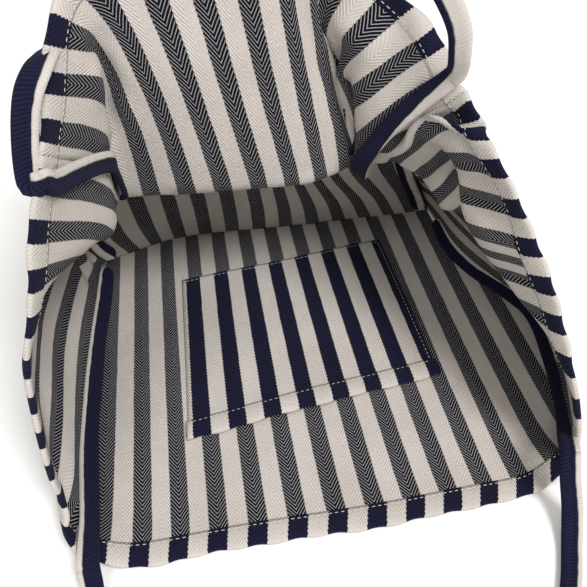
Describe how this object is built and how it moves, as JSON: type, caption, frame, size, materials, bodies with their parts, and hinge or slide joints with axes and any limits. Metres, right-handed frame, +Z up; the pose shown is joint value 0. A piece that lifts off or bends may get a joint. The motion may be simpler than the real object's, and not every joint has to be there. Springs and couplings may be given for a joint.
{
  "type": "striped cloth sack",
  "caption": "Open box-shaped carrying sack of navy and ecru striped herringbone cotton, with an inner patch pocket and two strap handles.",
  "frame": {"origin": "middle of the underside of the front panel, the flat face that the sack lies on", "axes": "+Z up from the panel it lies on; +Y from the mouth's front hem to the base; +X to the right, looking in through the mouth"},
  "size_m": [0.3784, 0.4986, 0.3391],
  "materials": {
    "wall_cloth": "navy and ecru striped cotton herringbone, twill reverse inside",
    "hem_cloth": "folded hem of the same cloth, face side out",
    "pocket_cloth": "the same cloth, face side up, solid navy stripes",
    "strap_cloth": "flat self-cloth strap, half navy and half ecru"
  },
  "bodies": {
    "root": {"front_panel": "wall_cloth", "front_panel_hem": "hem_cloth", "back_panel": "wall_cloth", "back_panel_hem": "hem_cloth", "left_gusset": "wall_cloth", "left_gusset_hem": "hem_cloth", "right_gusset": "wall_cloth", "right_gusset_hem": "hem_cloth", "base_panel": "wall_cloth", "pocket": "pocket_cloth", "pocket_hem": "hem_cloth", "front_left_tape": "strap_cloth", "front_right_tape": "strap_cloth", "back_left_tape": "strap_cloth", "back_right_tape": "strap_cloth", "base_left_tape": "strap_cloth", "base_right_tape": "strap_cloth"},
    "front_handle": {"front_handle": "strap_cloth"},
    "back_handle": {"back_handle": "strap_cloth"}
  },
  "joints": [
    {"name": "front_handle_swing", "type": "hinge", "parent": "root", "child": "front_handle", "pos_m": [0, -0.15375, 0.0013], "axis": [-1, 0, 0], "range_deg": [0, 95]},
    {"name": "back_handle_swing", "type": "hinge", "parent": "root", "child": "back_handle", "pos_m": [-0.14, -0.035, 0.22375], "axis": [-0.9902, -0.1385, 0.0205], "range_deg": [0, 35]}
  ]
}
